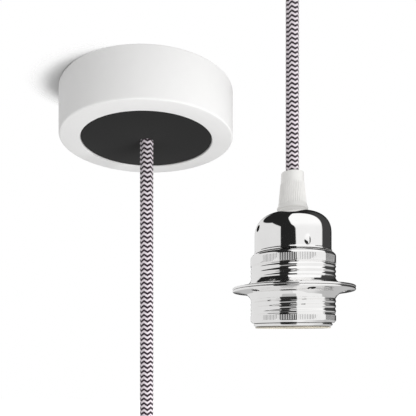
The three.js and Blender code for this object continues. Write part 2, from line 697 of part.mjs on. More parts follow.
// Tie round the top of the coil, with the eye that the set hangs by
function coilTie() {
  const h = COIL_HALF + 0.5;
  const w = h + 1.3;
  const mid = COIL_R;
  const outline = [
    [-w, mid - w], [w, mid - w], [w, mid + w], [4.6, mid + w], [4.2, mid + w + 4], [2.4, mid + w + 6.4],
    [-2.4, mid + w + 6.4], [-4.2, mid + w + 4], [-4.6, mid + w], [-w, mid + w],
  ];
  const shape = new THREE.Shape(outline.map(([x, y]) => new THREE.Vector2(x, y)));
  const inner = [[-h, mid - h], [-h, mid + h], [h, mid + h], [h, mid - h]];
  shape.holes.push(new THREE.Path(inner.map(([x, y]) => new THREE.Vector2(x, y))));
  const eye = [];
  for (let i = 0; i < 14; i += 1) {
    const t = (-2 * Math.PI * i) / 14;
    eye.push(new THREE.Vector2(2.3 * Math.cos(t), mid + w + 2.9 + 2.3 * Math.sin(t)));
  }
  shape.holes.push(new THREE.Path(eye));
  const g = new THREE.ExtrudeGeometry(shape, { depth: 8, bevelEnabled: false });
  g.translate(0, 0, -4);
  g.rotateX(Math.PI / 2);
  g.rotateZ(Math.PI / 2);
  g.translate(COIL_X, COIL_Y, COIL_Z);
  add(pendant, 'coil_tie', facedOut(g), CHARCOAL);
}
coilTie();

export default pendant;
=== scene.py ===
"""Pendant cord set: dressed model, studio and camera. Lengths in mm until the mesh is written."""
import json
import math

import bpy
import bmesh
import numpy as np
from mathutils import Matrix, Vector

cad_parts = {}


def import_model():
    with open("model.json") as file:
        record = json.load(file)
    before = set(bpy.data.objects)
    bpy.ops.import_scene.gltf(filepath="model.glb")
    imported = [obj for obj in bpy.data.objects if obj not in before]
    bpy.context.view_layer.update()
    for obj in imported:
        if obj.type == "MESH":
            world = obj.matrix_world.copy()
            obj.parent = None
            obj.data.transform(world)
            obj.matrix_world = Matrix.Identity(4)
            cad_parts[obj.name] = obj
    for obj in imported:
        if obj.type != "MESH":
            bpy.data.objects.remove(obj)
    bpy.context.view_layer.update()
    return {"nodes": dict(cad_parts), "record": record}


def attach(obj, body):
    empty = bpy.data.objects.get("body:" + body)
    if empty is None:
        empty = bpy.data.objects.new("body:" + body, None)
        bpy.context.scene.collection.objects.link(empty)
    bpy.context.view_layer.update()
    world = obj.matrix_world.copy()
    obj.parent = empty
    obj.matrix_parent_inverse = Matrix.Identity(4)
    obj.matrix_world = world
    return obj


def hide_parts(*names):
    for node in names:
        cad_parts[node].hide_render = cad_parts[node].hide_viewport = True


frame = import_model()
NODES = frame["nodes"]

MM = 0.001

# Sizes; the ceiling is at height 0. They are those of the part's source, except four that were set again from
# the picture: DOME_END, RING_TOP, COLLAR_R and FLANGE_R
CORD_D = 6.3
CORD_HOLE_R = 3.55
ROSE_R = 41.0
ROSE_H = 21.7
ROSE_WALL = 2.4
ROSE_FLOOR = 1.6
CUP_HOLE_R = 4.15
SNAP_LOW, SNAP_HIGH = -7.2, -3.8
SNAP_DEPTH = 0.7
SNAP_SLOPE = 0.8
DISC_R = 31.0
DISC_T = 1.4
DISC_PROUD = 0.4
DISC_GAP = 0.3
HX, HY = 71.5, 6.0
GRIP_TOP = -34.1
GRIP_END = -52.3
DOME_TOP = -54.2
DOME_END = -74.3
DOME_R = 18.3
SHEET = 0.75
SHELL_R = 18.75
SHELL_END = -110.3
SHELL_TOP = DOME_TOP - 11.7
COLLAR_R = 20.35
COLLAR_IN = 19.3
FLANGE_R = 29.2
RING_TOP = -74.8
RING_JOIN = -91.7
RING_END = -108.1
RING_FIT = 0.06
KNURLS = 168
KNURL_STEPS = 6
KNURL_DEPTH = 0.08
SLOTS = 6
SLOT_R = 1.85
SLOT_AT = 25.2
DOME_HOLE_R = 1.7
DOME_HOLE_TURN = math.radians(-168)
DOME_HOLE_DOWN = 8.1
CATCH_TURN = math.radians(-82.5)
CATCH_DOWN = 16.4
LOOP_X = 146.0
LOOP_Z = -157.0
COIL_Z = 95.0
SPACING = 6.5
COIL_R = (LOOP_X - HX - SPACING) / 2
COIL_TURNS = 3.5


# Materials
def new_material(name):
    m = bpy.data.materials.new(name)
    m.use_nodes = True
    nt = m.node_tree
    nt.nodes.clear()
    out = nt.nodes.new("ShaderNodeOutputMaterial")
    bsdf = nt.nodes.new("ShaderNodeBsdfPrincipled")
    nt.links.new(bsdf.outputs[0], out.inputs[0])
    return m, nt, bsdf


def feed(nt, socket, value):
    """Puts a number on the socket, or links another socket to it."""
    if isinstance(value, (int, float)):
        socket.default_value = value
    else:
        nt.links.new(value, socket)


def math_node(nt, op, a, b=None, c=None):
    n = nt.nodes.new("ShaderNodeMath")
    n.operation = op
    for i, v in enumerate((a, b, c)):
        if v is not None:
            feed(nt, n.inputs[i], v)
    return n.outputs[0]


def smoothstep(nt, value, start, stop, low=0.0):
    """From low to 1 as the value goes from start to stop."""
    n = nt.nodes.new("ShaderNodeMapRange")
    n.interpolation_type = "SMOOTHSTEP"
    feed(nt, n.inputs["Value"], value)
    n.inputs["From Min"].default_value = start
    n.inputs["From Max"].default_value = stop
    n.inputs["To Min"].default_value = low
    return n.outputs["Result"]


def blend(nt, factor, a, b):
    n = nt.nodes.new("ShaderNodeMix")
    n.data_type = "FLOAT"
    feed(nt, n.inputs["Factor"], factor)
    feed(nt, n.inputs["A"], a)
    feed(nt, n.inputs["B"], b)
    return n.outputs["Result"]


def axes(nt, vector):
    """The x, y and z of a vector socket."""
    n = nt.nodes.new("ShaderNodeSeparateXYZ")
    nt.links.new(vector, n.inputs[0])
    return n.outputs


def ramp(nt, fac, stops):
    n = nt.nodes.new("ShaderNodeValToRGB")
    els = n.color_ramp.elements
    while len(els) < len(stops):
        els.new(0.5)
    for e, (p, c) in zip(els, stops):
        e.position = p
        e.color = (*c, 1)
    nt.links.new(fac, n.inputs[0])
    return n.outputs[0]


def noise(nt, scale, detail=3.0):
    tc = nt.nodes.new("ShaderNodeTexCoord")
    n = nt.nodes.new("ShaderNodeTexNoise")
    n.inputs["Scale"].default_value = scale
    n.inputs["Detail"].default_value = detail
    nt.links.new(tc.outputs["Object"], n.inputs["Vector"])
    return n.outputs["Fac"]


def bump(nt, bsdf, height, strength, distance):
    b = nt.nodes.new("ShaderNodeBump")
    b.inputs["Strength"].default_value = strength
    b.inputs["Distance"].default_value = distance
    nt.links.new(height, b.inputs["Height"])
    nt.links.new(b.outputs[0], bsdf.inputs["Normal"])


def mottled(name, low, high, rough, scale, bump_d=0.0, metallic=0.0, **sockets):
    """Material whose colour and roughness wander a little between two values."""
    m, nt, bsdf = new_material(name)
    n = noise(nt, scale)
    nt.links.new(ramp(nt, n, [(0.3, low), (0.7, high)]), bsdf.inputs["Base Color"])
    r0, r1 = rough
    nt.links.new(ramp(nt, n, [(0.3, (r0,) * 3), (0.7, (r1,) * 3)]), bsdf.inputs["Roughness"])
    bsdf.inputs["Metallic"].default_value = metallic
    for k, v in sockets.items():
        bsdf.inputs[k.replace("_", " ")].default_value = v
    if bump_d:
        bump(nt, bsdf, n, 0.4, bump_d)
    return m


WHITE = mottled("white_plastic", (0.79, 0.787, 0.782), (0.8, 0.797, 0.792), (0.42, 0.48), 260, 0.00003,
                Specular_IOR_Level=0.3)
CHARCOAL = mottled("charcoal", (0.018, 0.018, 0.018), (0.02, 0.02, 0.02), (0.6, 0.7), 1500, 0.00002,
                   Specular_IOR_Level=0.1)
TIE = mottled("tie_black", (0.02, 0.02, 0.021), (0.035, 0.035, 0.035), (0.55, 0.7), 1200, 0.00004)
CHROME = mottled("chrome", (0.9, 0.895, 0.89), (0.93, 0.925, 0.92), (0.03, 0.07), 160, 0.0, 1.0)
STEEL = mottled("zinc_steel", (0.52, 0.52, 0.53), (0.64, 0.64, 0.64), (0.3, 0.42), 700, 0.00003, 1.0)
BRASS = mottled("brass", (0.66, 0.5, 0.24), (0.76, 0.6, 0.31), (0.2, 0.3), 500, 0.0, 1.0)
NYLON = mottled("nylon", (0.72, 0.72, 0.69), (0.78, 0.78, 0.75), (0.45, 0.55), 500, 0.00003)
IVORY = mottled("ivory_plastic", (0.78, 0.72, 0.56), (0.83, 0.77, 0.62), (0.35, 0.45), 400, 0.00003)
# Darker copy of the ivory for the insert's edge under the shell: painted shade, not a colour of its own.
IVORY_PAINTED_SHADE = mottled("ivory_painted_shade", (0.5, 0.47, 0.39), (0.55, 0.51, 0.43), (0.4, 0.5), 400, 0.00003)
# The clear plastic glows a little through its emission: painted light that brightens the grip and its neck
# evenly.
CLEAR_PAINTED_GLOW = mottled("clear_plastic", (0.59, 0.585, 0.57), (0.61, 0.605, 0.59), (0.2, 0.24), 120, 0.0,
                IOR=1.45, Emission_Color=(1, 0.99, 0.97, 1), Emission_Strength=0.2)
BROWN = mottled("wire_brown", (0.12, 0.05, 0.02), (0.17, 0.07, 0.03), (0.4, 0.5), 600)
BLUE = mottled("wire_blue", (0.03, 0.1, 0.36), (0.05, 0.14, 0.45), (0.4, 0.5), 600)
GREEN = mottled("wire_green", (0.2, 0.38, 0.05), (0.5, 0.45, 0.04), (0.4, 0.5), 150)

# Braid: zigzags round the cord, length of one band pair, height of a zigzag in pairs, turn about the cord
WAVES = 6
PITCH = 2.2
SWING = 0.48
TURN = 0.157
YARNS = 6.0
BRAID_SUNK, BRAID_RIDGE = 0.11, 0.17
BRAID_DARK = (0.026, 0.013, 0.022, 1)
BRAID_PALE = (0.84, 0.77, 0.82, 1)


def braid_material():
    m, nt, bsdf = new_material("braid")
    uv = nt.nodes.new("ShaderNodeUVMap")
    uv.uv_map = "UVMap"
    u, v, _ = axes(nt, uv.outputs[0])
    a = math_node(nt, "MULTIPLY_ADD", u, WAVES, TURN)
    tri = math_node(nt, "PINGPONG", a, 0.5)
    phase = math_node(nt, "MULTIPLY_ADD", tri, 2 * SWING, math_node(nt, "MULTIPLY", v, 1000.0 / PITCH))
    saw = math_node(nt, "FRACT", phase)
    n = noise(nt, 2600, 2)
    saw = math_node(nt, "MULTIPLY_ADD", math_node(nt, "SUBTRACT", n, 0.5), 0.1, saw)
    band = math_node(nt, "PINGPONG", saw, 0.5)
    mask = ramp(nt, band, [(0.22, (0, 0, 0)), (0.29, (1, 1, 1))])
    yarn = math_node(nt, "FRACT", math_node(nt, "MULTIPLY", phase, YARNS))
    yarn = math_node(nt, "PINGPONG", yarn, 0.5)
    # Painted shade: the base colour darkens towards each yarn's edges, between the yarns.
    shade = ramp(nt, yarn, [(0.0, (0.72, 0.72, 0.72)), (0.35, (1, 1, 1))])
    mix = nt.nodes.new("ShaderNodeMix")
    mix.data_type = "RGBA"
    nt.links.new(mask, mix.inputs["Factor"])
    mix.inputs["A"].default_value = BRAID_DARK
    mix.inputs["B"].default_value = BRAID_PALE
    mul = nt.nodes.new("ShaderNodeMix")
    mul.data_type = "RGBA"
    mul.blend_type = "MULTIPLY"
    mul.inputs["Factor"].default_value = 0.6
    nt.links.new(mix.outputs["Result"], mul.inputs["A"])
    nt.links.new(shade, mul.inputs["B"])
    nt.links.new(mul.outputs["Result"], bsdf.inputs["Base Color"])
    bsdf.inputs["Roughness"].default_value = 0.85
    bsdf.inputs["Sheen Weight"].default_value = 0.25
    bump(nt, bsdf, yarn, 0.5, 0.0001)
    return m


BRAID = braid_material()


# Meshes
def linked(name, data):
    o = bpy.data.objects.new(name, data)
    bpy.context.scene.collection.objects.link(o)
    return o


def make(name, verts, faces, mat, slot, node=None, angle=35.0, uv=None):
    me = bpy.data.meshes.new(name)
    me.from_pydata([tuple(c * MM for c in v) for v in verts], [], faces)
    me.validate()
    me.update()
    if uv is not None:
        layer = me.uv_layers.new(name="UVMap")
        layer.data.foreach_set("uv", uv)
    me.materials.append(mat)
    me.shade_smooth()
    me.set_sharp_from_angle(angle=math.radians(angle))
    o = linked(name, me)
    settle(o, slot, node)
    return o


def settle(o, slot, node=None):
    """Rides on the body, is kept out of reflections for some slots, and hides the CAD node or nodes it stands
    for.
    """
    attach(o, "root")
    o.visible_glossy = slot not in ("braid", "charcoal", "white_plastic")
    if node:
        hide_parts(*([node] if isinstance(node, str) else node))


def rounded(points, n=4):
    """Closed profile of (r, z) or (r, z, fillet) corners, with the fillets as arcs of n steps."""
    out = []
    k = len(points)
    for i, p in enumerate(points):
        c = np.array(p[:2], float)
        f = p[2] if len(p) > 2 else 0
        if f <= 0:
            out.append(tuple(c))
            continue
        a = np.array(points[i - 1][:2], float) - c
        b = np.array(points[(i + 1) % k][:2], float) - c
        la, lb = np.linalg.norm(a), np.linalg.norm(b)
        a, b = a / la, b / lb
        half = math.acos(max(-1, min(1, float(a @ b)))) / 2
        if half > math.radians(88):
            out.append(tuple(c))
            continue
        d = min(f / math.tan(half), 0.48 * la, 0.48 * lb)
        r = d * math.tan(half)
        centre = c + (a + b) / np.linalg.norm(a + b) * (r / math.sin(half))
        p0, p1 = c + a * d - centre, c + b * d - centre
        t0, t1 = math.atan2(p0[1], p0[0]), math.atan2(p1[1], p1[0])
        dt = (t1 - t0 + math.pi) % (2 * math.pi) - math.pi
        for j in range(n + 1):
            t = t0 + dt * j / n
            out.append((centre[0] + r * math.cos(t), centre[1] + r * math.sin(t)))
    return out


def clockwise(points):
    area = sum(a[0] * b[1] - b[0] * a[1] for a, b in zip(points, points[1:] + points[:1]))
    return points if area < 0 else points[::-1]


def lathe(name, points, segs, mat, slot, node=None, at=(0, 0), shape=None, angle=35.0):
    """Turned ring from a closed profile; shape(theta, r, z) may move each point."""
    pts = clockwise(list(points))
    k = len(pts)
    verts, faces = [], []
    for i in range(segs):
        t = 2 * math.pi * i / segs
        ct, st = math.cos(t), math.sin(t)
        for r, z in pts:
            if shape:
                r, z = shape(t, r, z)
            verts.append((at[0] + r * ct, at[1] + r * st, z))
    for i in range(segs):
        j = (i + 1) % segs
        for a in range(k):
            b = (a + 1) % k
            faces.append((i * k + a, i * k + b, j * k + b, j * k + a))
    return make(name, verts, faces, mat, slot, node, angle)


def cut_with(obj, tools):
    """Cuts the tools out of obj and takes them away."""
    for t in tools:
        m = obj.modifiers.new("cut", "BOOLEAN")
        m.operation = "DIFFERENCE"
        m.solver = "EXACT"
        m.object = t
    bpy.context.view_layer.update()
    dg = bpy.context.evaluated_depsgraph_get()
    me = bpy.data.meshes.new_from_object(obj.evaluated_get(dg))
    obj.modifiers.clear()
    old = obj.data
    obj.data = me
    bpy.data.meshes.remove(old)
    for t in tools:
        bpy.data.objects.remove(t)


def tool(verts, faces):
    """Closed solid to cut with, its normals turned outwards."""
    me = bpy.data.meshes.new("tool")
    me.from_pydata([tuple(c * MM for c in v) for v in verts], [], faces)
    bm = bmesh.new()
    bm.from_mesh(me)
    bmesh.ops.recalc_face_normals(bm, faces=bm.faces)
    bm.to_mesh(me)
    bm.free()
    return linked("tool", me)


def circle(n, r, cx=0.0, cy=0.0, way=1):
    """n points of a circle, clockwise where way is -1."""
    turns = [way * 2 * math.pi * i / n for i in range(n)]
    return [(cx + r * math.cos(t), cy + r * math.sin(t)) for t in turns]


def prism_faces(n):
    """Faces of a prism whose first n points are one end and whose next n are the other."""
    faces = [tuple(range(n)), tuple(range(n, 2 * n))]
    faces += [(i, (i + 1) % n, n + (i + 1) % n, n + i) for i in range(n)]
    return faces


def pin(radius, turn, z0, z1, r, n=32):
    """Upright round pin at that radius and angle about the holder's axis."""
    ring = circle(n, r, HX + radius * math.cos(turn), HY + radius * math.sin(turn))
    verts = [(x, y, z0) for x, y in ring] + [(x, y, z1) for x, y in ring]
    return tool(verts, prism_faces(n))


def drill(at, angle, z, r, r0, r1, n=28):
    """Round radial pin for drilling a hole through the wall."""
    c = Vector((math.cos(angle), math.sin(angle), 0))
    s = Vector((-math.sin(angle), math.cos(angle), 0))
    up = Vector((0, 0, 1))
    base = Vector((at[0], at[1], z))
    verts = []
    for rr in (r0, r1):
        verts += [tuple(base + c * rr + s * a + up * b) for a, b in circle(n, r)]
    return tool(verts, prism_faces(n))


# Cord
CORD_START_Z = -8.7
CORD_END_Z = DOME_TOP - 8
COIL_STEP = 4.0
CROSSOVER = 55.0
FINE_ABOVE = -163.0
FINE_AT_HOLDER = (-42.0, 52.0)


def route():
    """Centreline from the rose down, through the U, round the coil and down to the holder."""
    pts = [(0, 0, z) for z in np.linspace(CORD_START_Z, LOOP_Z, 40)[:-1]]
    rad = LOOP_X / 2
    y1 = HY - SPACING
    for a in np.linspace(0, math.pi, 60)[:-1]:
        pts.append((rad - rad * math.cos(a), y1 * (1 - math.cos(a)) / 2, LOOP_Z - rad * math.sin(a)))
    pts += [(LOOP_X, y1, z) for z in np.linspace(LOOP_Z, COIL_Z, 60)[:-1]]
    cx, cy = (HX + LOOP_X) / 2, HY - SPACING / 2
    q = SPACING / math.sqrt(2)
    # Each turn moves over to the next of four places in the coil's section within CROSSOVER degrees
    for a in np.arange(0, 360 * COIL_TURNS + 0.01, COIL_STEP):
        turn, part = divmod(a - 270, 360)
        turn = int(turn) + 1
        s = min(1.0, max(0.0, part / CROSSOVER)) if turn >= 1 else 0.0
        s = s * s * (3 - 2 * s)
        w = math.radians(-45 - 90 * ((turn - 1 + s) if turn >= 1 else 0))
        r = COIL_R + q * math.cos(w)
        y = cy + q * math.sin(w)
        t = math.radians(a)
        pts.append((cx + r * math.cos(t), y, COIL_Z + r * math.sin(t)))
    pts += [(HX, HY, z) for z in np.linspace(COIL_Z, CORD_END_Z, 44)[1:]]
    return np.array(pts, float)


def resample(pts, dense, fine, coarse):
    """Points along the polyline, fine where dense(point) is true and coarse elsewhere."""
    seg = np.linalg.norm(np.diff(pts, axis=0), axis=1)
    s = np.concatenate([[0], np.cumsum(seg)])
    out, at = [], 0.0
    while at < s[-1]:
        out.append(at)
        p = [np.interp(at, s, pts[:, i]) for i in range(3)]
        at += fine if dense(p) else coarse
    out.append(s[-1])
    out = np.array(out)
    return out, np.stack([np.interp(out, s, pts[:, i]) for i in range(3)], 1), s[-1]


def shown(p):
    """The stretches of cord in the picture, with a little to spare."""
    low, high = FINE_AT_HOLDER
    return (p[0] < 1 and p[2] > FINE_ABOVE) or (abs(p[0] - HX) < 1 and low < p[2] < high)


def cord():
    pts = route()
    s, p, total = resample(pts, shown, 0.4, 1.1)
    t = np.gradient(p, axis=0)
    t /= np.linalg.norm(t, axis=1)[:, None]
    n = np.tile(np.array([0.0, -1.0, 0.0]), (len(p), 1))
    n -= t * (n * t).sum(1)[:, None]
    n /= np.linalg.norm(n, axis=1)[:, None]
    b = np.cross(t, n)
    sides = 48
    u = np.arange(sides) / sides
    a = u * WAVES + TURN
    tri = np.abs((a + 0.5) % 1.0 - 0.5)
    phase = s[:, None] / PITCH + 2 * SWING * tri[None, :]
    r = CORD_D / 2 - BRAID_SUNK + BRAID_RIDGE * np.abs(np.cos(2 * np.pi * phase)) ** 0.6
    th = 2 * np.pi * u
    ring = n[:, None, :] * np.cos(th)[None, :, None] + b[:, None, :] * np.sin(th)[None, :, None]
    verts = (p[:, None, :] + ring * r[..., None]).reshape(-1, 3)
    m = len(p)
    faces, uv = [], []
    vv = s * MM
    for i in range(m - 1):
        for j in range(sides):
            k = (j + 1) % sides
            faces.append((i * sides + j, (i + 1) * sides + j, (i + 1) * sides + k, i * sides + k))
            u1 = u[j] + 1 / sides
            uv += [u[j], vv[i], u[j], vv[i + 1], u1, vv[i + 1], u1, vv[i]]
    for i, ends in ((0, 1), (m - 1, -1)):
        face = tuple(range(i * sides, (i + 1) * sides))
        faces.append(face if ends > 0 else face[::-1])
        for j in (range(sides) if ends > 0 else range(sides - 1, -1, -1)):
            uv += [u[j], vv[i]]
    o = make("cord", verts.tolist(), faces, BRAID, "braid", ["cord_drop", "cord_coil", "cord_riser"], 60, uv)
    line = (resample(pts, lambda q: False, 4.0, 4.0)[1] * MM).tolist()
    return o


def tie():
    """Band round the top of the coil with a round eye above it."""
    h = SPACING + 0.5
    w = h + 1.2
    lug, lug_h, eye_r, eye_up = 4.4, 6.4, 2.3, 2.7
    cx, cy, mid = (HX + LOOP_X) / 2, HY - SPACING / 2, COIL_Z + COIL_R
    top = mid + w
    outer = rounded([(-w, mid - w, 2.4), (w, mid - w, 2.4), (w, top, 2.2), (lug, top, 0.8),
                     (lug, top + lug_h, 4.2), (-lug, top + lug_h, 4.2), (-lug, top, 0.8), (-w, top, 2.2)], 5)
    hole = rounded([(-h, mid - h, 2), (-h, mid + h, 2), (h, mid + h, 2), (h, mid - h, 2)], 5)
    eye = circle(24, eye_r, 0.0, top + eye_up, -1)
    cu = bpy.data.curves.new("coil_tie_outline", "CURVE")
    cu.dimensions = "2D"
    cu.fill_mode = "BOTH"
    cu.extrude = 3.4 * MM
    cu.bevel_depth = 0.5 * MM
    cu.bevel_resolution = 3
    cu.offset = -0.5 * MM
    for loop in (outer, hole, eye):
        sp = cu.splines.new("POLY")
        sp.points.add(len(loop) - 1)
        for q, (y, z) in zip(sp.points, loop):
            q.co = (y * MM, z * MM, 0, 1)
        sp.use_cyclic_u = True
    tmp = linked("tmp", cu)
    bpy.context.view_layer.update()
    me = bpy.data.meshes.new_from_object(tmp.evaluated_get(bpy.context.evaluated_depsgraph_get()))
    bpy.data.objects.remove(tmp)
    for v in me.vertices:
        y, z, x = v.co
        v.co = (x + cx * MM, y + cy * MM, z)
    bm = bmesh.new()
    bm.from_mesh(me)
    bmesh.ops.remove_doubles(bm, verts=bm.verts, dist=1e-6)
    bmesh.ops.recalc_face_normals(bm, faces=bm.faces)
    bm.to_mesh(me)
    bm.free()
    me.materials.clear()
    me.materials.append(TIE)
    me.shade_smooth()
    me.set_sharp_from_angle(angle=math.radians(35))
    me.name = "coil_tie_band"
    o = linked("coil_tie_band", me)
    settle(o, "tie_black", "coil_tie")
    return o


TIE_PIECE = tie()
cord()


# Rose
def rose():
    f = -ROSE_H
    seat = f + DISC_PROUD + DISC_T + DISC_GAP
    floor = seat + ROSE_FLOOR
    inner = ROSE_R - ROSE_WALL
    snap = inner + SNAP_DEPTH
    recess = DISC_R + DISC_GAP
    cup = rounded([
        (inner, 0, 0.4), (ROSE_R, 0, 0.4), (ROSE_R, f, 0.8), (recess, f, 0.35), (recess, seat, 0.2),
        (CUP_HOLE_R, seat), (CUP_HOLE_R, floor, 0.2), (inner, floor, 1.0), (inner, SNAP_LOW, 0.3),
        (snap, SNAP_LOW + SNAP_SLOPE, 0.2), (snap, SNAP_HIGH - SNAP_SLOPE, 0.2), (inner, SNAP_HIGH, 0.3)], 5)
    lathe("rose_cup_fine", cup, 192, WHITE, "white_plastic", "rose_cup")
    z0, z1 = f + DISC_PROUD, f + DISC_PROUD + DISC_T
    disc = rounded([(CORD_HOLE_R, z0, 0.3), (DISC_R, z0, 0.35), (DISC_R, z1, 0.1), (CORD_HOLE_R, z1, 0.1)], 4)
    lathe("rose_disc_fine", disc, 192, CHARCOAL, "charcoal", "rose_disc")


rose()


# Grip and dome
def grip():
    top, end = GRIP_TOP, GRIP_END
    bore, lip, socket = CORD_HOLE_R, 7.5, 5.65
    rib_count, rib_rise, rib_sunk = 40, 0.3, 0.18
    pts = rounded([
        (bore, top, 0.4), (5.4, top, 0.45), (5.55, top - 4.2, 1.0), (6.6, end + 2.9, 1.0),
        (lip, end + 0.7, 0.4), (lip, end, 0.35), (socket, end, 0.2), (socket, end + 7.2, 0.2),
        (bore, end + 8.6, 0.5)], 4)
    fine = []
    for a, b in zip(pts, pts[1:] + pts[:1]):
        k = max(1, int(abs(a[1] - b[1]) / 0.6)) if min(a[0], b[0]) > 5.2 else 1
        fine += [(a[0] + (b[0] - a[0]) * i / k, a[1] + (b[1] - a[1]) * i / k) for i in range(k)]

    def ribs(t, r, z):
        if r < socket + 0.01 and z < top - 4.8:
            return r, z
        w = min(1, max(0, (top - 4.9 - z) / 0.8)) * min(1, max(0, (z - end - 1.6) / 1.2))
        c = (0.5 + 0.5 * math.cos(rib_count * t)) ** 0.7
        return r + w * (rib_rise * c - rib_sunk), z

    lathe("cord_grip_fine", fine, 320, CLEAR_PAINTED_GLOW, "clear_plastic", "cord_grip", (HX, HY), ribs, 50)
    z, low = end - 0.3, DOME_TOP - 6
    collar, seat = 7.2, DOME_TOP + 0.3
    neck = rounded([(bore, z + 7), (5.3, z + 7), (5.3, z), (collar, z, 0.15), (collar, seat, 0.15),
                    (5, seat), (5, low), (bore, low)], 3)
    lathe("grip_neck_fine", neck, 128, CLEAR_PAINTED_GLOW, "clear_plastic", "grip_neck", (HX, HY))


def dome():
    """Cap with a superellipse shoulder between flat top and straight side, and a bead at its edge."""
    r, t, e, s = DOME_R, DOME_TOP, DOME_END, SHEET
    flat_r, hz = 5.6, 11.0
    power = 2 / 2.35

    def shoulder(x0, r0, h):
        quarter = np.linspace(0, math.pi / 2, 30)
        return [(x0 + (r0 - x0) * math.sin(x) ** power, t - hz + h * math.cos(x) ** power) for x in quarter]

    outer = shoulder(flat_r, r, hz)
    inner = shoulder(flat_r - 0.2, r - s, hz - s)
    bead = r + 0.28
    split = t - 14
    lip = rounded([(r, split), (r, e + 1.3, 0.2), (bead, e + 0.9, 0.15), (bead, e + 0.35, 0.2), (r, e, 0.15),
                   (r - s, e, 0.2), (r - s, split)], 3)
    side = [(r, z) for z in np.linspace(t - hz - 0.4, e + 1.6, 17)]
    pts = outer + side + lip[1:-1] + inner[::-1]
    ca, cz = CATCH_TURN, t - CATCH_DOWN
    half_w, half_h = 1.9, 2.4

    def catch(th, rr, z):
        """Pressed-out catch, steeper at its right side."""
        x = ((th - ca + math.pi) % (2 * math.pi) - math.pi) * r
        y = (z - cz) / half_h
        if rr < r - 0.3 or abs(y) >= 1:
            return rr, z
        w = half_w * math.sqrt(1 - y * y)
        rise = min((x + w) / (1.25 * w), (0.75 * w - x) / (0.5 * w))
        return rr + max(0.0, min(1.0, rise)) * (0.6 - 0.3 * y) * (1 - y * y) ** 0.3, z

    o = lathe("dome_cap_fine", pts, 360, CHROME, "chrome", "dome_cap", (HX, HY), catch, 30)
    hole = drill((HX, HY), DOME_HOLE_TURN, t - DOME_HOLE_DOWN, DOME_HOLE_R, 14, 20)
    cut_with(o, [hole])


grip()
dome()


# Shell and shade rings
def shell():
    """Threaded shell under the rings, its rolled rim, and the insert's edge that shows below the metal, in a
    darker copy of the ivory that paints its shade.
    """
    r, e = SHELL_R, SHELL_END
    pitch, amplitude = 2.8, 0.26
    neck = DOME_R - SHEET - 0.75
    neck_in, shell_in, shoulder = neck - 0.8, r - 1.4, DOME_END - 1.4
    z0, z1 = DOME_END - 1.2, RING_END + 0.6
    zs = np.linspace(z0, z1, 84)
    outer = [(neck, SHELL_TOP), (neck, DOME_END - 0.4), (r - 0.4, DOME_END - 0.4)]
    outer += [(r - 0.1, z) for z in zs]
    rim = rounded([(r - 0.3, z1 - 0.3), (r - 0.3, RING_END - 0.15, 0.1), (r, RING_END - 0.5, 0.3),
                   (r, e + 1.1, 0.9), (r - 0.7, e + 0.5, 0.2), (shell_in, e + 0.5, 0.1),
                   (shell_in, shoulder)], 4)
    inner = [(shell_in, shoulder), (neck_in, DOME_END - 0.6), (neck_in, SHELL_TOP)]

    def thread(t, rr, z):
        if rr < r - 0.15 or z > z0 + 1e-6 or z < z1 - 1e-6:
            return rr, z
        w = min(1, z0 - z, z - z1)
        return rr + w * amplitude * math.cos(2 * math.pi * (z / pitch) - t), z

    profile = outer + rim[1:] + inner[1:]
    lathe("threaded_shell_fine", profile, 180, CHROME, "chrome", "threaded_shell", (HX, HY), thread)
    back, bore = r - 2.2, r - 1.7
    edge = rounded([(back, e + 1.2), (bore, e + 1.2, 0.1), (bore, e + 0.3, 0.1), (r - 0.75, e + 0.25, 0.2),
                    (r - 0.8, e - 0.4, 0.3), (back, e - 0.4, 0.3)], 4)
    # The insert's edge takes the darker ivory: painted shade under the shell's rim.
    lathe("insert_edge", edge, 180, IVORY_PAINTED_SHADE, "ivory_plastic", None, (HX, HY))


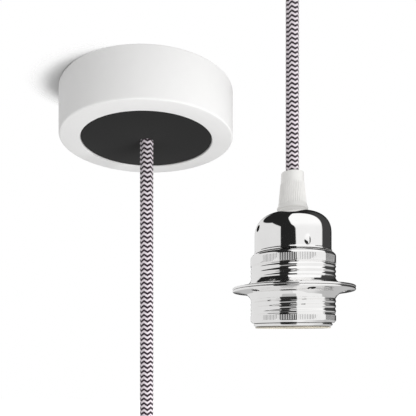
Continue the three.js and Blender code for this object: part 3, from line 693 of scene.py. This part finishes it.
def shade_ring(name, node, end_z, joint_z, turn, k0, k1, crest):
    """Ring from its free end to the joint, with heights h counted from the free end.

    The knurled band lies from k0 to k1 and a thread crest at crest; turn is the first slot's angle in radians.
    """
    c, f = COLLAR_R, FLANGE_R
    d = -1 if joint_z < end_z else 1
    n = abs(joint_z - end_z)
    pitch, amplitude = 2.35, 0.19
    start, stop = k1 + 0.75, n - 5.0
    head = [(COLLAR_IN, 0.25), (COLLAR_IN + 0.25, 0)]
    head += rounded([(COLLAR_IN, 0), (c - 0.9, 0), (c - 0.1, 0.8, 1.0), (c - 0.02, k0)], 6)[1:-1]
    band = [(c, k0), (c, k0 + 0.12), (c, k1 - 0.12), (c, k1)]
    groove = [(c - 0.42, k1 + 0.12), (c - 0.42, k1 + 0.5)]
    thread = [(c - 0.2, z) for z in np.linspace(start, stop, 34)]
    flare = rounded([
        (c - 0.2, stop), (c - 0.3, n - 4.9, 0.2), (c + 0.5, n - 3.5, 1.0), (c + 1.9, n - 2.15, 1.2),
        (f - 3.0, n - 1.35, 1.5), (f, n - 1.0, 0.45), (f, n, 0.42), (f - 1.3, n, 0.3),
        (f - 2.0, n - 0.5, 0.6), (f - 5.2, n - 0.9, 2.0), (c + 1.3, n - 1.9, 2.0),
        (c - 0.5, n - 3.3, 1.0), (COLLAR_IN, n - 4.9, 1.0), (COLLAR_IN, 3.0)], 5)[1:]
    pts = [(r, end_z + d * h) for r, h in head + band + groove + thread + flare]

    def relief(t, r, z):
        h = (z - end_z) * d
        if r < c - 0.3 or r > c + 0.1:
            return r, z
        if k0 + 0.05 < h < k1 - 0.05:
            k = round(t * KNURLS * KNURL_STEPS / (2 * math.pi)) % KNURL_STEPS
            return (r - KNURL_DEPTH if k == 0 else r), z
        if start < h < stop:
            w = min(1, (h - start) / 0.5, (stop - h) / 0.7)
            phase = 2 * math.pi * ((h - crest) / pitch + 0.71 * d) - t * d
            return r + w * amplitude * math.cos(phase), z
        return r, z

    o = lathe(name, pts, KNURLS * KNURL_STEPS, CHROME, "chrome", node, (HX, HY), relief, 24)
    z0, z1 = sorted((joint_z - d * 4.5, joint_z + d * 1))
    cut_with(o, [pin(SLOT_AT, turn + 2 * math.pi * i / SLOTS, z0, z1, SLOT_R) for i in range(SLOTS)])


shell()
shade_ring("shade_ring_upper_fine", "shade_ring_upper", RING_TOP, RING_JOIN + RING_FIT,
           turn=-1.68, k0=1.7, k1=5.15, crest=6.95)
shade_ring("shade_ring_lower_fine", "shade_ring_lower", RING_END, RING_JOIN - RING_FIT,
           turn=-1.49, k0=1.1, k1=3.5, crest=5.0)


# Everything else keeps its solid and gets its finish
FINISH = {
    "zinc_steel": STEEL, "nylon": NYLON, "brass": BRASS, "ivory_plastic": IVORY, "clear_plastic": CLEAR_PAINTED_GLOW,
    "chrome": CHROME, "white_plastic": WHITE, "charcoal": CHARCOAL, "tie_black": TIE, "braid": BRAID,
    "wire_brown": BROWN, "wire_blue": BLUE, "wire_green": GREEN,
}
for part in frame["record"]["subparts"]:
    ob = NODES[part["node"]]
    if not ob.hide_render:
        ob.data.materials.clear()
        ob.data.materials.append(FINISH[part["material_slot"]])
        ob.visible_glossy = part["node"].startswith(("holder", "screw", "insul", "centre", "lock"))


# Studio
FLOOR_Z = -1000.0
FLOOR_REACH = 6000.0
SHADOW_Z = 0.4
SHADOW_REACH = 85.0
LAMP_AIM = (20, 0, -20)
LAMP_SIDE = 0.4

# Camera: focal length, horizon and vanishing point in pixels of the square picture, place in mm
PICTURE = 416.0
F_PX = 458.2
HORIZON = 335.0
CENTRE_X = 175.0
CAM = (13.6, -220.0, -113.98)


def stage_plane(name, low, high, z, mat, way):
    """Level rectangle between two corners that faces up where way is 1 and down where it is -1."""
    (x0, y0), (x1, y1) = low, high
    corners = [(x0, y0, z), (x1, y0, z), (x1, y1, z), (x0, y1, z)]
    me = bpy.data.meshes.new(name)
    me.from_pydata([tuple(c * MM for c in v) for v in corners[::way]], [], [(0, 1, 2, 3)])
    me.materials.append(mat)
    o = linked(name, me)
    o.visible_glossy = False


def floor():
    """Wide floor far below the part, white to the camera."""
    m, nt, bsdf = new_material("floor")
    bsdf.inputs["Base Color"].default_value = (0.8, 0.8, 0.8, 1)
    bsdf.inputs["Roughness"].default_value = 0.9
    bsdf.inputs["Emission Color"].default_value = (1, 1, 1, 1)
    lp = nt.nodes.new("ShaderNodeLightPath")
    glow = math_node(nt, "MULTIPLY", lp.outputs["Is Camera Ray"], 0.6)
    nt.links.new(glow, bsdf.inputs["Emission Strength"])
    stage_plane("floor", (-FLOOR_REACH, -FLOOR_REACH), (FLOOR_REACH, FLOOR_REACH), FLOOR_Z, m, 1)


def ceiling():
    """Piece of ceiling that holds only the soft shadow at the rose's left, seen from below; the lamps cast it
    and its base colour also paints it darker towards the rose.
    """
    m, nt, bsdf = new_material("ceiling")
    bsdf.inputs["Roughness"].default_value = 0.9
    bsdf.inputs["Specular IOR Level"].default_value = 0
    out = next(n for n in nt.nodes if n.type == "OUTPUT_MATERIAL")
    geo = nt.nodes.new("ShaderNodeNewGeometry")
    x, y, _ = axes(nt, geo.outputs["Position"])
    # The shadow is measured from a point in front of the rose's axis, and squeezed from front to back
    squeeze, forward = 1.588, 0.01
    y = math_node(nt, "MULTIPLY_ADD", y, squeeze, squeeze * forward)
    square = math_node(nt, "MULTIPLY_ADD", x, x, math_node(nt, "MULTIPLY", y, y))
    far = math_node(nt, "SQRT", square)
    # Painted shadow: the base colour darkens from 1 to 0.68 towards the rose, on top of the lamps' cast
    # shadow.
    nt.links.new(smoothstep(nt, far, 0.041, 0.05, 0.68), bsdf.inputs["Base Color"])
    fade = smoothstep(nt, far, 0.0415, 0.056)
    right = smoothstep(nt, x, -0.035, -0.004)
    gone = math_node(nt, "MAXIMUM", fade, right)
    clear = nt.nodes.new("ShaderNodeBsdfTransparent")
    mix = nt.nodes.new("ShaderNodeMixShader")
    nt.links.new(math_node(nt, "MAXIMUM", gone, geo.outputs["Backfacing"]), mix.inputs[0])
    nt.links.new(bsdf.outputs[0], mix.inputs[1])
    nt.links.new(clear.outputs[0], mix.inputs[2])
    nt.links.new(mix.outputs[0], out.inputs[0])
    stage_plane("ceiling", (-SHADOW_REACH, -SHADOW_REACH), (0, SHADOW_REACH), SHADOW_Z, m, -1)


def lamp(name, at, power):
    li = bpy.data.lights.new(name, "AREA")
    li.shape = "RECTANGLE"
    li.size = li.size_y = LAMP_SIDE
    li.energy = power
    o = linked(name, li)
    o.location = [c * MM for c in at]
    d = Vector([b - a for a, b in zip(at, LAMP_AIM)])
    o.rotation_euler = d.to_track_quat("-Z", "Y").to_euler()
    o.visible_glossy = False


floor()
ceiling()
lamp("key", (540, -500, -557), 4.95)
lamp("side", (860, 60, -600), 1.9)


# World: an even light, and softboxes by direction for the chrome to reflect
DIFFUSE_LEVEL = 0.725
LEFT_BOX = 0.79
RIGHT_LOW, RIGHT_HIGH = 0.93, 1.07
DUSK = 0.055
DARK = 0.018
NEAR_LEFT, NEAR_MIDDLE, NEAR_RIGHT = 0.1, 0.03, 0.53
BELOW, STRAIGHT_BELOW = 0.52, 0.76


def world():
    w = bpy.data.worlds.new("studio")
    bpy.context.scene.world = w
    w.use_nodes = True
    nt = w.node_tree
    nt.nodes.clear()
    out = nt.nodes.new("ShaderNodeOutputWorld")
    bg = nt.nodes.new("ShaderNodeBackground")
    nt.links.new(bg.outputs[0], out.inputs[0])
    tc = nt.nodes.new("ShaderNodeTexCoord")
    x, y, z = axes(nt, tc.outputs["Generated"])

    def calc(op, *v):
        return math_node(nt, op, *v)

    def both(*v):
        r = v[0]
        for q in v[1:]:
            r = calc("MULTIPLY", r, q)
        return r

    def line(v, at, slope):
        """at + slope * v"""
        return calc("MULTIPLY_ADD", v, slope, at)

    def over(v, edge, soft):
        """0 below the edge, 1 above it; edge and v may be a number or a socket."""
        return smoothstep(nt, calc("SUBTRACT", v, edge), -soft, soft)

    # Azimuth from the front to the right, and elevation, in degrees
    az = calc("MULTIPLY", calc("ARCTAN2", x, calc("MULTIPLY", y, -1.0)), 180 / math.pi)
    el = calc("MULTIPLY", calc("ARCSINE", z), 180 / math.pi)

    # Left softbox: from the left round to the back, lower towards the front
    top_left = calc("MINIMUM", line(az, 18.0 - 49.0 * 0.5, -0.5), 36.0)
    sector = calc("MAXIMUM", over(-49.0, az, 1.2), over(az, 163.0, 3.0))
    left = both(sector, over(top_left, el, 1.5))

    # Right softbox, whose left edge leans and jumps to the left higher up
    high = calc("MINIMUM", calc("MAXIMUM", el, 16.0), 60.0)
    jump = smoothstep(nt, el, 6, 26)
    edge_right = calc("MULTIPLY_ADD", jump, -12.0, line(high, -2.0 + 16.0 * 0.4, -0.4))
    right = both(over(az, edge_right, 1.6), over(line(high, 78.0, 0.25), az, 2.5))
    right_box = line(smoothstep(nt, el, 10, 30), RIGHT_LOW, RIGHT_HIGH - RIGHT_LOW)

    # Dim light far right, and what lies below: dark ahead, pale further down and behind
    dusk = both(over(az, 70.0, 5.0), over(140.0, az, 15.0), over(60.0, el, 10.0))
    low = over(-6.0, el, 5.0)
    ahead = both(over(az, -125.0, 12.0), over(125.0, az, 12.0), over(el, -38.0, 7.0))
    middle = line(over(az, -47.0, 4.0), NEAR_LEFT, NEAR_MIDDLE - NEAR_LEFT)
    middle = calc("MULTIPLY_ADD", over(az, 11.0, 4.0), NEAR_RIGHT - NEAR_MIDDLE, middle)
    under = line(over(-58.0, el, 8.0), BELOW, STRAIGHT_BELOW - BELOW)
    ground = blend(nt, ahead, under, middle)

    seen = DARK
    for area, level in ((left, LEFT_BOX), (right, right_box), (dusk, DUSK), (low, ground)):
        seen = calc("MAXIMUM", calc("MULTIPLY", area, level), seen)
    lp = nt.nodes.new("ShaderNodeLightPath")
    lit = blend(nt, lp.outputs["Is Glossy Ray"], DIFFUSE_LEVEL, seen)
    nt.links.new(blend(nt, lp.outputs["Is Camera Ray"], lit, 1.0), bg.inputs["Strength"])
    bg.inputs["Color"].default_value = (1, 1, 1, 1)


world()

# Camera
cam_data = bpy.data.cameras.new("camera")
cam_data.sensor_width = 36.0
cam_data.lens = cam_data.sensor_width * F_PX / PICTURE
cam_data.shift_x = (PICTURE / 2 - CENTRE_X) / PICTURE
cam_data.shift_y = (HORIZON - PICTURE / 2) / PICTURE
cam_data.clip_start = 0.01
cam_data.clip_end = 50
cam = linked("camera", cam_data)
cam.location = [c * MM for c in CAM]
cam.rotation_euler = (math.pi / 2, 0, 0)
bpy.context.scene.camera = cam
bpy.context.scene.view_settings.view_transform = "Standard"
